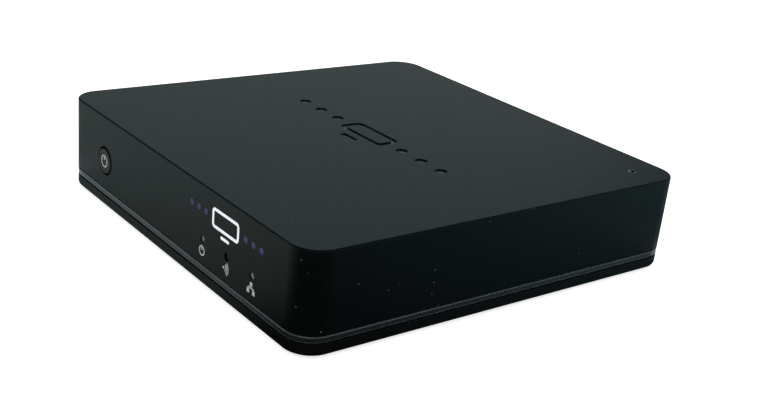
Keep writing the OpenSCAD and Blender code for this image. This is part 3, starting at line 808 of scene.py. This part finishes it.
def round_end(radius, turn, size, way):
    """The half circle that closes a curved stroke at one end."""
    x, y = radius * math.cos(turn), radius * math.sin(turn)
    start = turn if way > 0 else turn + math.pi
    angles = [start + math.pi * i / 6 for i in range(1, 6)]
    return [(x + size * math.cos(a), y + size * math.sin(a)) for a in angles]


def bar(bm, x0, y0, x1, y1, line, low, high, matrix):
    """A flat straight stroke with round ends."""
    direction = math.atan2(y1 - y0, x1 - x0)
    outline = []
    for x, y, start in ((x1, y1, direction - math.pi / 2), (x0, y0, direction + math.pi / 2)):
        for i in range(7):
            angle = start + math.pi * i / 6
            outline.append((x + line / 2 * math.cos(angle), y + line / 2 * math.sin(angle)))
    prism(bm, outline, low, high, matrix)


def power_sign(bm, radius, line, low, high, matrix):
    """The usual on and off sign: a ring that is open at the top, and a bar."""
    gap = 24  # degrees from the top to each end of the ring
    arc_band(bm, radius - line / 2, line, 90 + gap, 450 - gap, low, high, matrix)
    bar(bm, 0, radius * 0.25, 0, radius, line, low, high, matrix)


def build_symbol():
    """The on and off sign printed on the cap, which moves with it."""
    low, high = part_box("power_symbol")
    middle = (low + high) / 2
    button = centre("power_button")
    place = Matrix.Translation((middle.x, high.y, button.z)) @ Matrix.Rotation(math.pi / 2, 4, "X")
    bm = bmesh.new()
    power_sign(bm, 1.6 * MM, 0.32 * MM, -0.04 * MM, high.y - low.y, place)
    sign = new_object("power_sign_print", bm)
    settle(sign, "power_button", "print_ink", "power_symbol", material=ICON_INK)


# ---------------------------------------------------------------- printed marks on the front


def build_front_marks():
    """A small screen between rows of dots, and one plain icon under each front hole."""
    low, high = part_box("front_marks")
    middle_x = (low.x + high.x) / 2
    mark_z = TOP_Z - 5.6 * MM
    icon_z = TOP_Z - 15.3 * MM
    skin, sink = 0.05 * MM, -0.02 * MM
    dot_r, first_dot, dot_pitch = 0.75 * MM, 2.7 * MM, 3.1 * MM
    place = front_matrix(middle_x, mark_z)

    screen = bmesh.new()
    width, line = 11 * MM, 0.7 * MM
    height = width * SCREEN_SHAPE
    section = [(0, sink), (0, skin), (line, skin), (line, sink)]
    sweep(screen, width / 2, height / 2, line * 1.5, section, steps=8, closed=True)
    bmesh.ops.transform(screen, matrix=place, verts=screen.verts)
    foot_y, foot_half = -height / 2 - 1.7 * line, width * 0.16 - line / 2
    bar(screen, -foot_half, foot_y, foot_half, foot_y, line, sink, skin, place)
    white = new_object("front_screen_print", screen)
    settle(white, "housing", "print_ink", "front_marks", material=WHITE_INK)

    dots = bmesh.new()
    for side in (-1, 1):
        for i in range(3):
            spot = place @ Matrix.Translation((side * (width / 2 + first_dot + dot_pitch * i), 0, 0))
            lathe(dots, [(dot_r, sink), (dot_r, skin)], steps=32, matrix=spot)
    violet = new_object("front_dots_print", dots)
    settle(violet, "housing", "print_ink", "front_marks", material=VIOLET_INK)

    def icon_place(node, shift=0):
        """The middle of the icon below a front hole."""
        return front_matrix(centre(node).x + shift, icon_z)

    icons = bmesh.new()
    power_sign(icons, 1.2 * MM, 0.34 * MM, sink, skin, icon_place("power_light_guide"))
    wave_sign(icons, 0.24 * MM, sink, skin, icon_place("infrared_window", -0.9 * MM))
    network_sign(icons, 3.1 * MM, 0.32 * MM, sink, skin, icon_place("network_light_guide"))
    printed = new_object("front_icons_print", icons)
    settle(printed, "housing", "print_ink", "front_marks", material=ICON_INK)


def wave_sign(bm, line, low, high, matrix):
    """A dot and three curved waves on its right."""
    dot_r, reach = 0.3 * MM, 46
    lathe(bm, [(dot_r, low), (dot_r, high)], steps=24, matrix=matrix)
    for radius in (0.85, 1.4, 1.95):
        arc_band(bm, radius * MM, line, -reach, reach, low, high, matrix, steps=16)


def network_sign(bm, width, line, low, high, matrix):
    """Three small squares joined by lines."""
    box, spread, rise, stub = width * 0.15, width * 0.35, width * 0.27, width * 0.12
    corners = ((-1, -1), (1, -1), (1, 1), (-1, 1))
    for x, y in ((0, rise), (-spread, -rise), (spread, -rise)):
        prism(bm, [(x + sx * box, y + sy * box) for sx, sy in corners], low, high, matrix)
    bar(bm, -spread, 0, spread, 0, line, low, high, matrix)
    for x, y in ((0, stub), (-spread, -stub), (spread, -stub)):
        bar(bm, x, 0, x, y, line, low, high, matrix)


# ---------------------------------------------------------------- sockets, light guides and inner parts


def build_softened():
    """Small hard parts keep their CAD shape and get slightly rounded edges."""
    rows = (
        ("case_screws", "screw_steel", ZINC, 0.12),
        ("power_inlet", "socket_plastic", SOCKET, 0.15),
        ("power_inlet_pin", "sheet_metal", TIN, 0.3),
        ("av_jack", "socket_plastic", SOCKET, 0.15),
        ("video_socket_shell", "sheet_metal", TIN, 0.08),
        ("video_socket_tongue", "socket_plastic", SOCKET, 0.12),
        ("usb_shell_1", "sheet_metal", TIN, 0.08),
        ("usb_tongue_1", "socket_plastic_light", SOCKET_LIGHT, 0.2),
        ("usb_shell_2", "sheet_metal", TIN, 0.08),
        ("usb_tongue_2", "socket_plastic_light", SOCKET_LIGHT, 0.2),
        ("network_jack_shield", "sheet_metal", TIN, 0.06),
        ("network_jack_body", "socket_plastic", SOCKET, 0.1),
        ("power_light_guide", "clear_plastic", CLEAR, 0.3),
        ("network_light_guide", "clear_plastic", CLEAR, 0.3),
        ("infrared_window", "infrared_plastic", INFRARED, 0.3),
    )
    for node, slot, material, width in rows:
        piece = softened(node, "fine_" + node, width * MM)
        settle(piece, "housing", slot, node, material=material)


def build_contacts():
    """Gold strips on the tongues of the video and data sockets. A row has the number of strips and, in mm,
    their pitch, width, length and drop below the middle of the tongue's node."""
    rows = (
        ("video", "video_socket_tongue", 10, 1.0, 0.5, 6.0, 0.6),
        ("usb_first", "usb_tongue_1", 4, 2.3, 1.2, 7.0, 0.025),
        ("usb_second", "usb_tongue_2", 4, 2.3, 1.2, 7.0, 0.025),
    )
    tip_gap = 0.6 * MM
    section = [(0, 0.05 * MM), (0, -0.04 * MM), (0.05 * MM, -0.08 * MM)]
    for name, node, count, pitch, width, length, drop in rows:
        middle, tip_y = centre(node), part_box(node)[1].y
        bm = bmesh.new()
        for i in range(count):
            x = middle.x + (i - (count - 1) / 2) * pitch * MM
            place = Matrix.Translation((x, tip_y - tip_gap - length * MM / 2, middle.z - drop * MM))
            made = len(bm.verts)
            sweep(bm, width * MM / 2, length * MM / 2, 0.15 * MM, section, steps=3)
            move_new(bm, made, place)
        strips = new_object(name + "_contacts", bm)
        settle(strips, "housing", "gold_contact", material=GOLD)


def finish_inner_nodes():
    """Nodes that keep their CAD mesh get the finish of what they are made of."""
    finishes = {
        "board_screws": ZINC, "switch_plunger": SOCKET, "switch_body": SOCKET, "switch_frame": TIN,
        "infrared_receiver": CHIP, "status_leds": LED_RESIN, "main_board": BOARD, "processor": CHIP,
        "thermal_pad": PAD, "heat_sink": ALUMINIUM, "heat_sink_pins": NYLON, "memory_chips": CHIP,
        "storage_chip": CHIP, "power_inductors": FERRITE, "filter_capacitors": ALUMINIUM,
        "clock_crystal": TIN, "network_transformer": CHIP, "chip_components": CERAMIC,
        "wireless_module": BOARD, "wireless_shield": TIN, "wireless_antennas": TIN,
        "network_jack_contacts": GOLD,
    }
    for node, material in finishes.items():
        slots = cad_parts[node].data.materials
        slots.clear()
        slots.append(material)


set_camera()
set_light()
set_floor()
build_cover()
build_ring()
build_base()
build_feet()
build_label()
build_button()
build_symbol()
build_front_marks()
build_softened()
build_contacts()
finish_inner_nodes()
